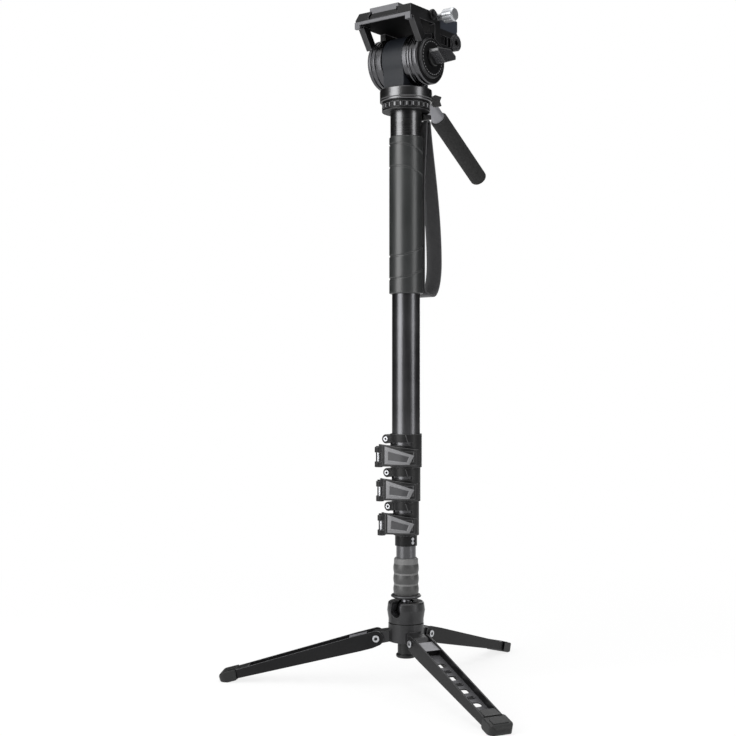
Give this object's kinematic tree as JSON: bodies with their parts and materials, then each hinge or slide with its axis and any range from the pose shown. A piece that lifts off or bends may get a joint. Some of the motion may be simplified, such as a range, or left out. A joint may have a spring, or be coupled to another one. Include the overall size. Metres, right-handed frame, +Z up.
{
  "type": "video monopod",
  "caption": "Collapsible video monopod with folding feet, ball base, flip locks, rubber grip, wrist strap and a tilting fluid head with a pan handle.",
  "frame": {"origin": "on the column's axis at floor level, under the centre foot", "axes": "+Z up along the column, -Y to the front (the way the lens looks), +X to the tilt lock's side"},
  "size_m": [0.3583, 0.3405, 0.7225],
  "materials": {
    "black_anodised_aluminium": "satin anodised",
    "charcoal_aluminium": "powder coated",
    "slate_aluminium": "satin anodised",
    "grey_aluminium": "satin anodised",
    "silver_aluminium": "bright turned",
    "bright_steel": "bright zinc",
    "black_nylon": "fine moulded grain",
    "natural_acetal": "smooth",
    "black_rubber": "matt",
    "grey_rubber": "matt",
    "black_webbing": "flat weave"
  },
  "bodies": {
    "base": {"base_hub": "charcoal_aluminium", "swivel_bush": "natural_acetal", "foot_stud": "bright_steel", "centre_foot": "black_rubber", "leg_pins": "bright_steel"},
    "leg_rear": {"rear_leg": "black_anodised_aluminium", "rear_boot": "black_rubber"},
    "leg_left": {"left_leg": "black_anodised_aluminium", "left_boot": "black_rubber"},
    "leg_right": {"right_leg": "black_anodised_aluminium", "right_boot": "black_rubber"},
    "swivel_housing": {"ball_housing": "charcoal_aluminium", "lower_ball_seat": "natural_acetal", "upper_ball_seat": "natural_acetal", "swivel_screw": "bright_steel"},
    "column": {"ball_stem": "black_anodised_aluminium", "tube_4": "black_anodised_aluminium", "stop_collar": "black_anodised_aluminium", "stop_screws": "bright_steel", "tube_4_guide": "natural_acetal"},
    "sleeve": {"lock_sleeve": "charcoal_aluminium", "sleeve_grip": "grey_rubber"},
    "section_3": {"tube_3": "black_anodised_aluminium", "tube_3_guide": "natural_acetal", "lock_3_collar": "black_nylon", "lock_3_bolt": "bright_steel", "lock_3_screw": "bright_steel"},
    "lever_3": {"lock_3_lever": "black_nylon"},
    "section_2": {"tube_2": "black_anodised_aluminium", "tube_2_guide": "natural_acetal", "lock_2_collar": "black_nylon", "lock_2_bolt": "bright_steel", "lock_2_screw": "bright_steel"},
    "lever_2": {"lock_2_lever": "black_nylon"},
    "section_1": {"tube_1": "black_anodised_aluminium", "lock_1_collar": "black_nylon", "lock_1_bolt": "bright_steel", "lock_1_screw": "bright_steel", "grip_sleeve": "black_rubber", "top_cap": "charcoal_aluminium", "head_stud": "bright_steel", "index_ring": "black_anodised_aluminium"},
    "lever_1": {"lock_1_lever": "black_nylon"},
    "strap": {"wrist_strap": "black_webbing"},
    "pan_head": {"pan_disc": "black_anodised_aluminium", "head_body": "slate_aluminium", "drag_rings": "black_anodised_aluminium", "tilt_shaft": "bright_steel"},
    "pan_lock": {"pan_knob": "black_nylon"},
    "tilt_lock": {"tilt_knob": "black_nylon"},
    "cradle": {"cradle": "black_anodised_aluminium", "front_trim": "silver_aluminium"},
    "plate_jaw": {"clamp_jaw": "charcoal_aluminium"},
    "plate_lock": {"plate_knob": "silver_aluminium"},
    "button": {"safety_button": "black_nylon"},
    "plate": {"camera_plate": "charcoal_aluminium"},
    "plate_screw": {"camera_screw": "bright_steel"},
    "handle": {"handle_arm": "grey_aluminium", "handle_grip": "black_rubber"},
    "handle_clamp": {"handle_knob": "black_nylon"}
  },
  "joints": [
    {"name": "base_swivel", "type": "hinge", "parent": "base", "child": "swivel_housing", "pos_m": [0, 0, 0.0665], "axis": [0, 0, 1], "continuous": true},
    {"name": "column_lean", "type": "hinge", "parent": "swivel_housing", "child": "column", "pos_m": [0, 0, 0.08], "axis": [-1, 0, 0], "range_deg": [-90, 0]},
    {"name": "sleeve_lift", "type": "slide", "parent": "column", "child": "sleeve", "axis": [0, 0, 1], "range_m": [0, 0.0124]},
    {"name": "rear_leg_fold", "type": "hinge", "parent": "base", "child": "leg_rear", "pos_m": [0, 0.0315, 0.0503], "axis": [1, 0, 0], "range_deg": [0, 95]},
    {"name": "left_leg_fold", "type": "hinge", "parent": "base", "child": "leg_left", "pos_m": [-0.02671, -0.01669, 0.0503], "axis": [-0.5299, 0.848, 0], "range_deg": [0, 95]},
    {"name": "right_leg_fold", "type": "hinge", "parent": "base", "child": "leg_right", "pos_m": [0.02781, -0.01479, 0.0503], "axis": [-0.4695, -0.8829, 0], "range_deg": [0, 95]},
    {"name": "section_3_slide", "type": "slide", "parent": "column", "child": "section_3", "axis": [0, 0, 1], "range_m": [0, 0.29]},
    {"name": "section_2_slide", "type": "slide", "parent": "section_3", "child": "section_2", "axis": [0, 0, 1], "range_m": [0, 0.29]},
    {"name": "section_1_slide", "type": "slide", "parent": "section_2", "child": "section_1", "axis": [0, 0, 1], "range_m": [0, 0.29]},
    {"name": "lock_3_lever_turn", "type": "hinge", "parent": "section_3", "child": "lever_3", "pos_m": [-0.01583, -0.0227, 0.1711], "axis": [0, 0, -1], "range_deg": [0, 130]},
    {"name": "lock_2_lever_turn", "type": "hinge", "parent": "section_2", "child": "lever_2", "pos_m": [-0.01703, -0.0236, 0.20735], "axis": [0, 0, -1], "range_deg": [0, 130]},
    {"name": "lock_1_lever_turn", "type": "hinge", "parent": "section_1", "child": "lever_1", "pos_m": [-0.01822, -0.0245, 0.2436], "axis": [0, 0, -1], "range_deg": [0, 130]},
    {"name": "strap_swing", "type": "hinge", "parent": "section_1", "child": "strap", "pos_m": [0.00408, 0.02314, 0.60245], "axis": [0.9848, -0.1736, 0], "range_deg": [0, 45]},
    {"name": "head_pan", "type": "hinge", "parent": "section_1", "child": "pan_head", "pos_m": [0, 0, 0.62185], "axis": [0, 0, 1], "continuous": true},
    {"name": "pan_lock_turn", "type": "hinge", "parent": "pan_head", "child": "pan_lock", "pos_m": [0, 0, 0.62805], "axis": [0.4226, 0.9063, 0], "range_deg": [0, 120]},
    {"name": "head_tilt", "type": "hinge", "parent": "pan_head", "child": "cradle", "pos_m": [0, 0, 0.66545], "axis": [1, 0, 0], "range_deg": [-60, 90]},
    {"name": "tilt_lock_turn", "type": "hinge", "parent": "pan_head", "child": "tilt_lock", "pos_m": [0, 0, 0.66545], "axis": [1, 0, 0], "range_deg": [0, 120]},
    {"name": "plate_slide", "type": "slide", "parent": "cradle", "child": "plate", "axis": [0, 1, 0], "range_m": [-0.02, 0.02]},
    {"name": "camera_screw_turn", "type": "hinge", "parent": "plate", "child": "plate_screw", "pos_m": [0, 0, 0.71755], "axis": [0, 0, 1], "continuous": true},
    {"name": "plate_lock_turn", "type": "hinge", "parent": "cradle", "child": "plate_lock", "pos_m": [0, 0.008, 0.70945], "axis": [1, 0, 0], "range_deg": [0, 360]},
    {"name": "jaw_slide", "type": "slide", "parent": "cradle", "child": "plate_jaw", "axis": [1, 0, 0], "range_m": [0, 0.001]},
    {"name": "button_press", "type": "slide", "parent": "cradle", "child": "button", "axis": [-1, 0, 0], "range_m": [0, 0.002], "stiffness_N_per_m": 800},
    {"name": "handle_angle", "type": "hinge", "parent": "cradle", "child": "handle", "pos_m": [0, 0.0415, 0.68945], "axis": [1, 0, 0], "range_deg": [-60, 60]},
    {"name": "handle_clamp_turn", "type": "hinge", "parent": "handle", "child": "handle_clamp", "pos_m": [0, 0.0415, 0.68945], "axis": [-1, 0, 0], "range_deg": [0, 360]}
  ],
  "couplings": [
    {"joint": "sleeve_lift", "follows": "column_lean", "m_per_rad": -0.00789},
    {"joint": "jaw_slide", "follows": "plate_lock_turn", "m_per_rad": 0.000159}
  ]
}
